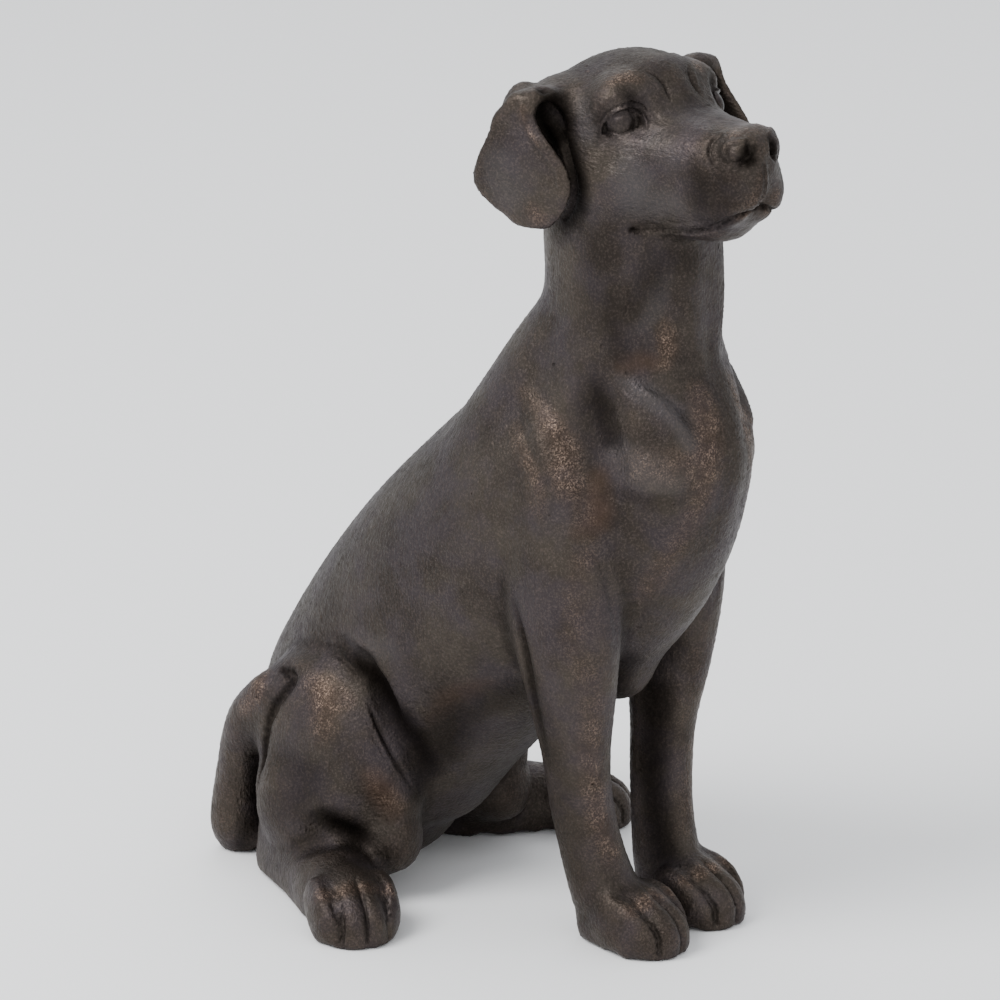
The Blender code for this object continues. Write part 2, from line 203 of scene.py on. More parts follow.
BODY_STROKES = [
    # two folds of skin over the thigh, and the pocket before it
    [(50, -76, 128, 2, -0.2), (54, -62, 131, 2.4, -0.9), (58, -50, 129, 2.4, -0.9),
     (60, -40, 123, 2.2, -0.3)],
    [(52, -68, 127, 2, 0.2), (56, -56, 126, 2.4, 1.0), (58, -46, 122, 2.6, 1.2), (59, -38, 115, 2.2, 0.4)],
    [(54, -46, 126, 6, 0.5), (54, -35, 120, 9, 2.6), (53, -28, 109, 10, 3.0), (52, -21, 97, 9, 2.0),
     (48, -13, 80, 7, 0.5)],
    [(60, -40, 112, 2, -0.2), (60, -31, 98, 2.4, -0.9), (58, -25, 84, 2.4, -0.8), (54, -19, 70, 2, -0.2)],
    [(58, -38, 106, 2, 0.2), (57, -30, 93, 2.4, 1.1), (55, -21, 76, 2.4, 1.1), (45, -16, 58, 2, 0.3)],
    # the hollow above the hind paw, and the wrinkles under it
    [(84, -58, 38, 6, 0.4), (75, -52, 44, 9, 1.6), (68, -43, 39, 9, 2.0), (63, -34, 32, 6, 0.4)],
    [(86, -58, 36, 1.2, 0.2), (79, -50, 37, 1.4, 0.9), (73, -43, 36, 1.2, 0.2)],
    [(88, -55, 32, 1.2, 0.2), (82, -47, 33, 1.4, 0.8), (76, -40, 32, 1.2, 0.2)],
    # behind the foreleg
    [(61, 59, 181, 2.4, 0.2), (61, 65, 162, 2.6, 1.0), (56, 67, 135, 2.6, 1.0), (52, 71, 111, 2.2, 0.2)],
    # the cords of the throat
    [(16, 127, 356, 5, -0.3), (16, 127, 334, 6, -1.0), (12, 130, 310, 5, -0.3)],
    [(24, 121, 352, 5, 0.3), (24, 120, 330, 6, 1.0), (22, 122, 308, 5, 0.3)],
    # the keel of the breast and the plate beside it
    [(3, 139, 290, 6, -0.3), (3, 147, 262, 8, -1.0), (3, 143, 230, 7, -0.8), (3, 134, 204, 5, -0.2)],
    [(30, 124, 286, 5, 0.2), (24, 134, 280, 6, 0.9), (14, 141, 272, 5, 0.3)],
    [(26, 134, 262, 9, 0.3), (24, 138, 246, 12, 1.0), (22, 135, 226, 9, 0.3)],
    # the two edges of the shoulder blade
    [(44, 49, 282, 5, -0.2), (50, 73, 269, 6, -0.8), (50, 81, 258, 6, -0.8), (55, 87, 240, 6, -0.3)],
    [(50, 51, 265, 4, -0.2), (55, 58, 257, 4.5, -0.7), (60, 72, 239, 4.5, -0.7), (61, 73, 224, 4, -0.2)],
    # the slanting edge of the breast muscle, the hollow behind it, the plate below and its ledge
    [(37, 104, 297, 4, -0.3), (34, 116, 291, 5, -1.7), (28, 127, 281, 6, -2.0), (26, 138, 268, 5, -1.2)],
    [(41, 93, 292, 7, 0.4), (40, 96, 280, 9, 2.2), (41, 102, 266, 8, 1.6)],
    [(42, 110, 258, 9, -0.3), (40, 124, 255, 10, -1.0), (34, 134, 250, 8, -0.6)],
    [(45, 102, 241, 5, 0.5), (42, 122, 239, 6, 1.5), (30, 137, 241, 5, 0.4)],
    # before the top of the foreleg
    [(58, 92, 222, 3, 0.2), (50, 102, 205, 4, 0.9), (46, 105, 184, 3.5, 0.9), (42, 104, 162, 3, 0.3)],
]

# The tail lies on the right, so its crease and its tip stand alone.
TAIL_CREASE = [
    (-60, -90, 113),
    (-65, -80, 112),
    (-68, -84, 103),
    (-69, -90, 94),
    (-69, -94, 78),
    (-69, -97, 60),
    (-69, -102, 42),
]

HEAD_STROKES = [
    # the line of the lips
    [(27.5, 114, 369.5, 1.2, 0.6), (22.6, 122, 371, 1.2, 1.0), (19, 135, 372, 1.3, 1.3),
     (16.5, 151, 375.5, 1.4, 1.5)],
    [(16.5, 151, 375.5, 1.4, 1.5), (15, 160, 379, 1.6, 1.6), (14, 169, 384.5, 1.6, 1.6),
     (6, 172, 387.5, 1.6, 1.6)],
    [(6, 172, 387.5, 1.6, 1.6), (0, 172, 388.5, 1.6, 1.8)],
    # the pit at the corner of the mouth
    [(27.5, 114, 370, 2.2, 1.3), (26.5, 116, 370, 2.0, 1.2)],
    # the rims of the lips, and the line under the lower one
    [(24, 121, 374.5, 1.6, -0.2), (20, 135, 375.5, 1.8, -0.5), (17.5, 151, 379, 1.8, -0.5),
     (16, 162, 383, 1.6, -0.2)],
    [(22, 123, 367.5, 1.4, -0.2), (19, 136, 368, 1.6, -0.5), (16.5, 150, 371.5, 1.4, -0.3)],
    [(22, 121, 364.5, 1.2, 0.2), (18, 136, 364.8, 1.2, 0.6), (15.5, 149, 368, 1.2, 0.3)],
    # the hollow between the brow and the inner corner of the eye, and the one under it
    [(29, 107, 437, 4, 0.3), (25, 112, 433, 5.5, 1.8), (21.5, 118, 427, 4.5, 1.0),
     (19, 124, 423, 3.5, 0.3)],
    [(34, 109, 411, 5, 0.3), (34, 107, 402, 6.5, 0.9), (34, 103, 393, 5, 0.3)],
    # the wrinkles of the brow
    [(13.5, 108.5, 444.5, 1.2, 0.3), (10, 112, 441.5, 1.4, 1.1), (8.5, 117, 436.5, 1.4, 1.2),
     (9.5, 121, 432, 1.2, 0.4)],
    [(15.5, 109.5, 443, 1.4, -0.2), (12.5, 113.5, 439.5, 1.6, -0.7), (11, 117.5, 435.5, 1.4, -0.3)],
]

NOSE_STROKES = [
    # the skin under the nose is full, with a fine parting
    [(0, 181, 411, 6, -0.4), (0, 180, 404, 8, -1.5), (0, 178, 396, 8, -1.8), (0, 174, 390, 6, -1.0)],
    [(0, 181, 412, 1.1, 0.3), (0, 180, 405, 1.1, 0.6), (0, 178, 396, 1.1, 0.6), (0, 174, 390, 1.1, 0.6)],
    # the nostril, a comma about a small swelling, and the groove round its outer side
    [(7.5, 178, 422.5, 2.0, 1.4), (6.4, 178.5, 419, 2.8, 3.6), (7, 178, 415.5, 2.8, 4.0),
     (9.5, 176, 412.5, 2.2, 2.4)],
    [(9.5, 176, 412.5, 1.8, 1.6), (13, 171.5, 412, 1.3, 0.7)],
    [(10.5, 174, 419, 2.6, -0.6), (11, 173.5, 417, 2.6, -0.6)],
    [(12, 170.5, 421.5, 1.1, 0.4), (13.4, 169.5, 417.5, 1.2, 0.9), (13, 171, 413.5, 1.1, 0.5)],
    # its rim
    [(7, 177, 425, 1.8, -0.5), (10.5, 173, 424, 2.0, -0.9), (13.5, 167.5, 421, 2.2, -0.9),
     (15, 166, 416, 2, -0.5)],
    # the crease behind its wing
    [(10, 160, 424, 1.2, 0.3), (14, 159, 421, 1.2, 0.9), (16, 160, 415.5, 1.3, 1.1),
     (15.5, 163.5, 410.5, 1.2, 0.5)],
]

# The upper front edge of an ear, from its fold down: forward and up. Its outer face lies inside EAR_OUT.
EAR_EDGE = [(77, 430), (80, 421), (87.5, 413), (95.5, 405), (100, 398), (100.5, 390)]
EAR_OUT = 66
# How far behind that edge the turned rim and the groove beside it lie.
EAR_RIM_BACK = 2.4
EAR_GROOVE_BACK = 6
EAR_INSIDE = [
    # the pocket under the fold
    [(50, 73, 432, 4, 1.5), (48.5, 76, 427, 6, 5), (46, 78, 420, 6.5, 6.5), (44, 80, 412, 5, 4.5)],
    # the gap between the ear and the neck
    [(44, 80, 412, 3.6, 4), (43, 85, 403, 3, 3.4), (43.3, 91, 391, 2.8, 3), (41, 87, 380, 2.6, 2.4),
     (40, 80, 371, 2.4, 1.2)],
    # the hollow of its outer face
    [(EAR_OUT, 72, 414, 10, 0.3), (EAR_OUT, 72, 402, 16, 1.4), (EAR_OUT, 72, 388, 14, 0.7)],
]

# A forepaw and a hind paw: where its ankle stands, its heading outwards in degrees, and its width, length
# and height.
PAWS = [((24.5, 89), 0, 43, 41, 33), ((85, -33), 35, 45, 44, 32)]
# The gaps between a paw's toes, and the middles of the toes, as shares of its half width.
TOE_GAPS = (0.60, -0.02, -0.62)
TOES = (0.78, 0.29, -0.32, -0.79)
# A line between two toes: shares of the paw's length and height, and the depth there.
TOE_LINE = ((0.55, 1.0, 0.2), (0.7, 0.9, 1.0), (0.88, 0.68, 1.4), (1.0, 0.4, 1.4), (1.02, 0.12, 1))
# Where the top of a toe is rubbed: shares of the paw's length and height.
TOE_TOP = (0.72, 0.9)


def ear_strokes():
    """The turned rim along the front edge of an ear, the groove beside it and the ear's hollows."""
    ridge = [(EAR_OUT, forward - EAR_RIM_BACK, up, 2.4, -0.8) for forward, up in EAR_EDGE]
    groove = [(EAR_OUT, forward - EAR_GROOVE_BACK, up, 2.4, 0.6) for forward, up in EAR_EDGE]
    return [ridge, groove] + EAR_INSIDE


def on_paw(paw, share, ahead, rise):
    """A place on a paw, by shares of its half width, its length and its height."""
    ankle, heading, width, length, height = paw
    turn = math.radians(heading)
    aside = share * width / 2
    left = ankle[0] + ahead * length * math.sin(turn) + aside * math.cos(turn)
    forward = ankle[1] + ahead * length * math.cos(turn) - aside * math.sin(turn)
    return (left, forward, rise * height)


def toe_strokes(paw):
    """The lines between the toes of a paw, sharper than the solid's."""
    strokes = []
    for gap in TOE_GAPS:
        strokes.append([(*on_paw(paw, gap, ahead, rise), 1.3, depth) for ahead, rise, depth in TOE_LINE])
    return strokes


# Where shade is painted, with the patina's own dark in the hollows, and where hands and cloths have rubbed
# it bright. A row is left, forward, up, half width and strength.

# painted shade: the pocket before the thigh, above the hind paw, behind and between the forelegs, the
# hollows of the breast and neck, the legs and the belly
SHADE_BODY = [
    [(52, -58, 129, 5, 0.3), (54, -46, 125, 8, 0.8), (54, -35, 120, 11, 1.0), (52, -27, 108, 13, 1.0),
     (52, -20, 98, 14, 0.9)],
    [(52, -20, 98, 14, 0.9), (50, -12, 86, 14, 0.85), (42, -11, 73, 13, 0.8), (42, -16, 56, 9, 0.4)],
    [(80, -58, 44, 7, 0.4), (73, -49, 44, 11, 0.9), (67, -38, 36, 11, 0.9), (74, -40, 33, 7, 0.4)],
    [(61, 59, 181, 4, 0.2), (61, 65, 162, 5, 0.6), (56, 67, 135, 6, 0.7), (52, 71, 111, 6, 0.6),
     (50, 72, 96, 5, 0.3)],
    [(42, 90, 297, 10, 0.2), (42, 91, 284, 12, 0.4), (44, 92, 270, 12, 0.4), (47, 92, 257, 9, 0.3)],
    [(39, 93, 364, 14, 0.25), (39, 93, 334, 16, 0.25), (30, 110, 335, 14, 0.3),
     (25, 118, 355, 12, 0.35), (14, 128, 354, 10, 0.2)],
    [(58, 70, 150, 12, 0.25), (55, 76, 110, 12, 0.25), (48, 80, 70, 12, 0.25), (45, 84, 40, 12, 0.25)],
    [(16, 86, 150, 14, 0.7), (16, 86, 110, 14, 0.7), (16, 86, 66, 12, 0.7), (16, 96, 34, 12, 0.7)],
    [(40, -4, 84, 17, 0.5), (46, 18, 108, 17, 0.38), (42, 42, 120, 15, 0.4)],
    [(41, 92, 294, 8, 0.4), (40, 95, 281, 10, 0.7), (41, 101, 266, 9, 0.6)],
    [(38, 98, 340, 9, 0.3), (38, 99, 325, 10, 0.45), (37, 104, 310, 8, 0.3)],
    [(45, 102, 240, 6, 0.2), (42, 122, 238, 6, 0.3), (30, 137, 240, 5, 0.1)],
    [(72, -76, 70, 16, 0.3), (74, -60, 60, 16, 0.36), (70, -86, 40, 14, 0.25)],
]
SHADE_HEAD = [
    # painted shade inside the fold of the ear, and down the gap between it and the neck
    [(51, 74, 435, 4, 0.5), (50, 78, 429, 8, 1.0), (47, 78, 422, 10, 1.0), (44, 80, 414, 9, 1.0)],
    [(50, 72, 428, 7, 1.0), (47, 72, 419, 8, 1.0), (46, 76, 409, 8, 1.0)],
    [(43, 84, 410, 8, 1.0), (43, 90, 401, 8.5, 1.0), (43, 94, 391, 8.5, 1.0), (41, 91, 380, 9, 0.95)],
    [(41, 91, 380, 9, 0.95), (40, 82, 371, 9, 0.8), (38, 72, 364, 9, 0.4)],
    # painted shade over the inner corner of the eye, and beside its outer one
    [(28, 107, 437, 5, 0.3), (25, 112, 433, 6, 0.6), (22, 118, 427, 5, 0.3)],
    [(41, 102, 414, 4, 0.3), (41, 102, 422, 4, 0.45), (38, 104, 429, 4, 0.35)],
    # painted shade on the side of the muzzle, which is turned away from the light
    [(21, 155, 408, 8, 0.3), (21, 158, 402, 12, 0.5), (20.5, 158, 394, 12, 0.5), (18.5, 156, 386, 9, 0.3)],
    [(17, 166, 409, 9, 0.3), (17.5, 166, 402, 12, 0.4), (17, 165, 393, 12, 0.4), (15, 163, 386, 9, 0.3)],
    # painted shade in the corner of the mouth
    [(27.3, 114, 370, 2.4, 0.9), (26, 116, 370, 2.0, 0.8)],
    # painted shade on the top of the skull and of the muzzle, which dims their sheen
    [(22, 66, 446, 16, 0.25), (10, 84, 450, 17, 0.3), (8, 106, 444, 13, 0.2)],
    [(0, 130, 433, 12, 0.25), (0, 150, 431, 12, 0.3)],
]
# Painted shade inside the nostrils.
SHADE_NOSE = [
    [(7, 178.5, 421, 3, 0.9), (6.6, 178.5, 418.5, 4, 1.0), (7.4, 178, 415, 4, 1.0),
     (10, 176, 412.5, 3, 0.9)],
]
# Painted shade beside the tail and under its tip.
SHADE_TAIL = [(*row, 3.4, 0.75) for row in TAIL_CREASE]
SHADE_TAIL += [(-55, -118, 21, 7, 0.5), (-50, -127, 5, 7, 0.5)]
RUB_BODY = [
    # the shoulder blade's edges
    [(44, 49, 282, 7, 0.2), (49, 66, 275, 8, 0.5), (50, 73, 269, 10, 0.7), (50, 81, 258, 11, 0.6)],
    [(50, 81, 258, 11, 0.6), (55, 85, 247, 12, 0.55), (52, 93, 236, 12, 0.4), (54, 98, 222, 12, 0.2)],
    [(50, 51, 265, 6, 0.2), (55, 58, 257, 7, 0.5), (58, 66, 249, 7, 0.5), (60, 72, 239, 8, 0.4),
     (61, 71, 229, 7, 0.2)],
    # the plate and the keel of the breast, and the throat
    [(42, 109, 256, 9, 0.2), (42, 120, 256, 12, 0.4), (36, 130, 256, 13, 0.45), (28, 138, 256, 13, 0.5)],
    [(14, 133, 290, 8, 0.4), (14, 138, 281, 10, 0.7), (16, 141, 267, 12, 0.8), (19, 143, 256, 12, 0.7),
     (22, 141, 236, 10, 0.4)],
    [(22, 141, 236, 10, 0.4), (27, 133, 218, 9, 0.35), (31, 121, 196, 9, 0.35), (32, 113, 185, 7, 0.2)],
    [(24, 121, 322, 6, 0.4), (23, 122, 313, 8, 0.8), (25, 121, 305, 7, 0.5)],
    # the front of the foreleg
    [(57, 98, 209, 9, 0.3), (61, 95, 189, 9, 0.2), (61, 95, 163, 9, 0.2), (53, 99, 136, 9, 0.25),
     (47, 95, 102, 9, 0.35)],
    [(47, 95, 102, 9, 0.35), (40, 96, 68, 9, 0.45), (34, 101, 51, 9, 0.35)],
    # the thigh and the knee
    [(66, -66, 114, 8, 0.3), (67, -57, 109, 12, 0.95), (69, -55, 98, 12, 0.7), (73, -56, 87, 9, 0.2)],
    [(66, -50, 110, 8, 0.5), (64, -45, 106, 7, 0.4)],
    [(64, -27, 69, 7, 0.3), (60, -24, 62, 9, 0.45), (56, -21, 54, 8, 0.3)],
]
RUB_TAIL = [
    (-60, -112, 109, 7, 0.5),
    (-62, -106, 108, 8.5, 1.0),
    (-65, -104, 101, 9, 0.9),
    (-66, -110, 90, 9, 0.4),
]
# Painted sheen: where the light on the rough skin shows a cool grey.
SHEEN_BODY = [
    [(37, 106, 296, 6, 0.4), (34, 116, 291, 8, 0.8), (28, 127, 281, 8, 0.8), (26, 138, 268, 8, 0.6)],
    [(42, 106, 262, 10, 0.5), (42, 114, 256, 13, 0.8), (40, 124, 254, 13, 0.8), (34, 134, 250, 11, 0.5)],
    [(30, 111, 322, 5, 0.3), (26, 115, 330, 7, 0.5), (22, 118, 345, 7, 0.3)],
    [(53, -48, 135, 8, 0.4), (50, -36, 137, 10, 0.5), (50, -20, 140, 10, 0.3)],
]
SHEEN_HEAD = [
    [(36, 118, 405, 12, 0.5), (34, 122, 395, 16, 0.8), (33, 122, 384, 14, 0.7), (28, 140, 388, 12, 0.5)],
    [(28, 128, 418, 10, 0.5), (24, 140, 410, 10, 0.4)],
    [(44, 92, 430, 9, 0.5), (42, 96, 416, 9, 0.5)],
    [(EAR_OUT, 62, 398, 14, 0.5), (EAR_OUT, 66, 384, 14, 0.6)],
]
# Where it is rubbed only thin, and looks warm.
WARM_BODY = [
    [(46, 98, 248, 8, 0.5), (47, 99, 238, 10, 0.6), (49, 100, 228, 10, 0.6), (56, 94, 222, 8, 0.3)],
    [(25, 121, 305, 6, 0.4), (31, 112, 305, 8, 0.55), (36, 106, 303, 8, 0.4)],
    [(64, -29, 70, 9, 0.4), (61, -26, 62, 11, 0.7), (57, -22, 52, 11, 0.5)],
    [(50, -3, 102, 6, 0.2), (51, 10, 116, 9, 0.45), (49, 22, 123, 9, 0.5), (46, 30, 128, 7, 0.3)],
]
RUB_HEAD = [
    [(30, 101, 441, 5, 0.4), (24, 104, 442.5, 6, 0.9), (19, 108, 441.5, 5, 0.5)],
    [(0, 140, 428, 8, 0.2), (6, 162, 427, 7, 0.4), (10, 166, 424, 5, 0.5), (0, 172, 427, 6, 0.4)],
    [(8, 182, 392, 8, 0.2), (10, 178, 382, 6, 0.3)],
    [(EAR_OUT, 80, 378, 6, 0.3), (EAR_OUT, 84, 373, 6, 0.6)],
    [(EAR_OUT, 73, 426, 4, 0.5), (EAR_OUT, 84, 412, 3, 0.3)],
]


# A cut is painted with shade if it is deeper and narrower than this. The painted shade lies a little inside
# its edge, and is black where it is this deep, but never darker than the last value.
CUT_DEPTH = 0.7
CUT_HALF_WIDTH = 3
CUT_INSET = 0.1
CUT_BLACK_DEPTH = 2.2
CUT_DARKEST = 0.75

# Paint is laid in steps of this length or shorter, and fades to its edge by this power.
PAINT_STEP = 3.0
PAINT_FADE = 1.5

# How far a point is proud of the smoothed skin: rounds of smoothing, and then, for a hollow, which gets
# painted shade, and for a proud place, which is rubbed, what its height in millimetres is multiplied by,
# what is taken off, and the most that it gives.
PROUD_ROUNDS = 30
HOLLOW_SHADE = (0.5, 0.2, 0.35)
PROUD_RUB = (0.2, 0.1, 0.12)
# How much open sky a point sees, for the shade painted where little sky reaches: rays, how far off the skin
# they start, their length in metres, rounds of smoothing, and the share of sky below which painted shade
# starts.
SKY_RAYS = 12
SKY_RAY_START = 0.0006
SKY_RAY_LENGTH = 0.07
SKY_ROUNDS = 3
SKY_ENOUGH = 0.4
# The eyeballs are this dark, and a rubbed place is warm by at least this share of its rub.
EYEBALL_DARK = 0.25
RUB_WARMTH = 0.5
# Where the head starts above the neck, and the height over which the lie of the hair turns to its own.
HEAD_FROM = 368
HEAD_OVER = 12


def on_toes(paw):
    """The tops of a paw's toes, where it is rubbed."""
    return [(*on_paw(paw, toe, *TOE_TOP), 6, 0.8) for toe in TOES]


def all_strokes():
    """Every cut and ridge that is carved into the skin, on both sides."""
    strokes = both_sides(BODY_STROKES)
    strokes += both_sides(HEAD_STROKES + ear_strokes(), head=True)
    strokes += both_sides(NOSE_STROKES, head=True, aside=NOSE_ASIDE)
    for paw in PAWS:
        strokes += both_sides(toe_strokes(paw))
    strokes.append([(*row, 2.6, 1.4) for row in TAIL_CREASE])
    return strokes


def activate(piece):
    """Selects a piece alone and makes it the one that operators act on."""
    bpy.ops.object.select_all(action="DESELECT")
    piece.select_set(True)
    bpy.context.view_layer.objects.active = piece


def apply_modifier(piece, kind, **settings):
    """Adds a modifier with its settings to a piece, and applies it."""
    activate(piece)
    modifier = piece.modifiers.new(kind.lower(), kind)
    for name, value in settings.items():
        setattr(modifier, name, value)
    bpy.ops.object.modifier_apply(modifier=modifier.name)


def read(mesh, what):
    """The places or the normals of a mesh's points."""
    values = np.empty(len(mesh.vertices) * 3)
    if what == "place":
        mesh.vertices.foreach_get("co", values)
    else:
        mesh.vertex_normals.foreach_get("vector", values)
    return values.reshape(-1, 3)


def write(mesh, places):
    """Moves a mesh's points to their new places."""
    mesh.vertices.foreach_set("co", places.ravel())
    mesh.update()


def copy_of_solid():
    """The solid's form as a piece of its own, its loose triangles merged."""
    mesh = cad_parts[NODE].data.copy()
    mesh.materials.clear()
    piece = bpy.data.objects.new("bronze_dog", mesh)
    bpy.context.scene.collection.objects.link(piece)
    activate(piece)
    bpy.ops.object.mode_set(mode="EDIT")
    bpy.ops.mesh.select_all(action="SELECT")
    bpy.ops.mesh.remove_doubles(threshold=MERGE_DISTANCE)
    bpy.ops.mesh.normals_make_consistent(inside=False)
    bpy.ops.object.mode_set(mode="OBJECT")
    return piece


def tree_of(places):
    """A tree that finds the points near a place."""
    spots = KDTree(len(places))
    for i, place in enumerate(places):
        spots.insert(place, i)
    spots.balance()
    return spots


def points_near(spots, place, reach):
    """The numbers of the points within reach of a place, and how far off they are as shares of it."""
    near = spots.find_range(place, reach)
    ids = np.array([found[1] for found in near], int)
    away = np.array([found[2] for found in near]) / reach
    return ids, away


def refine_under(piece, strokes):
    """Splits the faces that the strokes and the eyes cross, so that fine cuts keep their edges."""
    places = read(piece.data, "place")
    spots = tree_of(places)
    crossed = np.zeros(len(places), bool)
    for stroke in strokes:
        for row in smooth_rows(stroke, REFINE_STEP):
            ids, _ = points_near(spots, at(*row[:3]), (row[3] + REFINE_MARGIN) * UNIT)
            crossed[ids] = True
    for side in (-1, 1):
        ids, _ = points_near(spots, at(*on_head(side * EYE[0], *EYE[1:])), REFINE_EYE * UNIT)
        crossed[ids] = True
    activate(piece)
    bpy.ops.object.mode_set(mode="EDIT")
    bpy.ops.mesh.select_all(action="DESELECT")
    bpy.ops.object.mode_set(mode="OBJECT")
    for face in piece.data.polygons:
        face.select = all(crossed[i] for i in face.vertices)
    bpy.ops.object.mode_set(mode="EDIT")
    bpy.ops.mesh.select_mode(type="FACE")
    bpy.ops.mesh.subdivide(number_cuts=1)
    bpy.ops.object.mode_set(mode="OBJECT")


def carve(piece, strokes):
    """Presses strokes in along the skin's normals."""
    places = read(piece.data, "place")
    normals = read(piece.data, "normal")
    surface = BVHTree.FromObject(piece, bpy.context.evaluated_depsgraph_get())
    spots = tree_of(places)
    total = np.zeros(len(places))
    for stroke in strokes:
        deepest = np.zeros(len(places))
        for left, forward, up, half_width, depth in smooth_rows(stroke, STROKE_STEP):
            place, facing, _, _ = surface.find_nearest(at(left, forward, up))
            ids, away = points_near(spots, place, half_width * UNIT)
            agrees = normals[ids] @ np.array(facing) > FACE_AGREES
            dent = depth * (1 - away**2) ** 2 * agrees
            deepest[ids] = np.where(np.abs(dent) > np.abs(deepest[ids]), dent, deepest[ids])
        total += deepest
    write(piece.data, places - normals * total[:, None] * UNIT)


def swelling(outside, height, distance, spread):
    """The height of a ridge round the eye's opening, or of a crease where it is negative."""
    return height * np.exp(-(((outside - distance) / spread) ** 2))


def set_eye(piece, side):
    """Sets an eyeball in its opening, under a high upper lid and over a nearly straight lower one."""
    middle = np.array(at(*on_head(side * EYE[0], *EYE[1:])))
    turned = side * math.sin(EYE_FACING), math.cos(EYE_FACING)
    ahead = np.array(on_head(turned[0], HEAD_AXIS + turned[1], 0)) - np.array((0, HEAD_AXIS, 0))
    facing = np.array((ahead[0], -ahead[1], EYE_TILT))
    facing /= np.linalg.norm(facing)
    # across runs towards the nose
    across = -side * np.cross((0, 0, 1), facing)
    across /= np.linalg.norm(across)
    rise = np.cross(facing, across) * -side
    places = read(piece.data, "place")
    normals = read(piece.data, "normal")
    gone = (places - middle) / UNIT
    x, y, z = gone @ across, gone @ rise, gone @ facing
    near = np.hypot(x, y - EYE_REACH_UP) < EYE_REACH
    near &= (np.abs(z) < EYE_REACH_DEEP) & (normals @ facing > EYE_REACH_FACES)
    x, y, z = x[near], y[near], z[near]
    # how far outside the lids each point is, below zero in the opening
    above = y - EYE_SLOPE * x
    over_upper = (np.hypot(x / EYE_HALF_WIDTH, np.maximum(above, 0) / LID_RISE) - 1) * EYE_HALF_WIDTH
    under_lower = -above - LID_DROP * np.clip(1 - (x / EYE_HALF_WIDTH) ** 2, 0, 1)
    outside = np.maximum(over_upper, under_lower)
    ring = (outside > LEVEL_RING[0]) & (outside < LEVEL_RING[1])
    spread = np.column_stack((np.ones(ring.sum()), x[ring], y[ring]))
    plane = np.linalg.lstsq(spread, z[ring], rcond=None)[0]
    level = plane[0] + plane[1] * x + plane[2] * y
    ball = EYEBALL_RADIUS**2 - (x - EYEBALL_ASIDE) ** 2 - (y - EYEBALL_UP) ** 2
    ball = np.sqrt(np.clip(ball, 0, None)) - EYEBALL_SUNK
    inside = level + np.maximum(ball, -SOCKET_DEPTH)
    # the rim of the lower lid is half as high as the upper one's, and it has no crease and no fold
    upper = np.clip(above / LID_CHANGE + 0.5, 0, 1)
    rim = swelling(outside, *LID_RIM) * (0.5 + 0.5 * upper)
    crease = swelling(outside, *LID_CREASE) * upper
    fold = swelling(outside, *LID_FOLD) * upper
    lid = np.clip(outside / LID_EDGE + 0.5, 0, 1)
    height = inside * (1 - lid) + (z + rim + crease + fold) * lid
    places[near] += (height - z)[:, None] * facing * UNIT
    write(piece.data, places)


def eyeballs(places):
    """One on the eyeballs and nought elsewhere."""
    found = np.zeros(len(places))
    for side in (-1, 1):
        middle = np.array(at(*eye_place(side, EYEBALL_ASIDE, EYEBALL_UP + EYE_SLOPE * EYEBALL_ASIDE)))
        away = np.linalg.norm(places - middle, axis=1) / UNIT
        found = np.maximum(found, np.clip(EYEBALL_RADIUS - EYEBALL_EDGE - away, 0, 1))
    return found


def lid_shade_lines():
    """The painted shade lines about the eyes: inside the lids, over the upper one and in the inner corner.
    """
    lines = []
    for side in (-1, 1):
        inside = []
        crease = []
        for turn in np.linspace(0, math.pi, LINE_POINTS):
            x = EYE_HALF_WIDTH * math.cos(turn)
            y = LID_RISE * math.sin(turn)
            place = eye_place(side, x * LINE_IN_LID, y * LINE_IN_LID + EYE_SLOPE * x)
            inside.append((*place, 1.0, 0.95))
            place = eye_place(side, x * LINE_OVER_LID, y * LINE_OVER_LID + EYE_SLOPE * x)
            crease.append((*place, 0.8, 0.6 * math.sin(turn)))
        corner = [(*eye_place(side, x, y), half_width, 1.0) for x, y, half_width in SHADE_CORNER]
        lower = [eye_place(side, x, EYE_SLOPE * x - LID_DROP + LOWER_LINE_UP) for x in LOWER_LINE]
        lines += [inside, crease, corner, [(*place, 1.1, 0.8) for place in lower]]
    return lines


def stipple(piece, relief):
    """Gives the skin a fine stipple, as clay keeps it when it is cast, and leaves the underside flat.

    The noises are much finer than the skin's points, so that each of these is lifted by chance.
    """
    places = read(piece.data, "place")
    normals = read(piece.data, "normal")
    lift = np.empty(len(places))
    for i, (x, y, z) in enumerate(places / UNIT * 1000):
        coarse = noise.noise(Vector((x / COARSE_CELL[0], y / COARSE_CELL[0], z / COARSE_CELL[1])))
        fine = noise.noise(Vector((x / FINE_CELL[0] + FINE_ASIDE, y / FINE_CELL[0], z / FINE_CELL[1])))
        lift[i] = COARSE_SHARE * coarse + FINE_SHARE * fine
    lift *= 1 - eyeballs(places)
    places += normals * lift[:, None] * relief
    low = places[:, 2] < LOW.z + UNDERSIDE
    places[low, 2] = LOW.z
    write(piece.data, places)


def as_shade_lines(strokes):
    """The narrow cuts among the strokes, as rows of painted shade."""
    lines = []
    for stroke in strokes:
        if max(row[4] for row in stroke) <= CUT_DEPTH or max(row[3] for row in stroke) >= CUT_HALF_WIDTH:
            continue
        line = []
        for left, forward, up, half_width, depth in stroke:
            darkness = min(CUT_DARKEST, max(0, depth) / CUT_BLACK_DEPTH)
            line.append((left, forward, up, half_width - CUT_INSET, darkness))
        lines.append(line)
    return lines


def paint(surface, places, strokes):
    """How strongly each point is painted by soft strokes laid on the surface."""
    spots = tree_of(places)
    strength = np.zeros(len(places))
    for stroke in strokes:
        for left, forward, up, half_width, most in smooth_rows(stroke, min(PAINT_STEP, stroke[0][3] / 2)):
            place = surface.find_nearest(at(left, forward, up))[0]
            ids, away = points_near(spots, place, half_width * UNIT)
            strength[ids] = np.maximum(strength[ids], most * (1 - away**2) ** PAINT_FADE)
    return strength


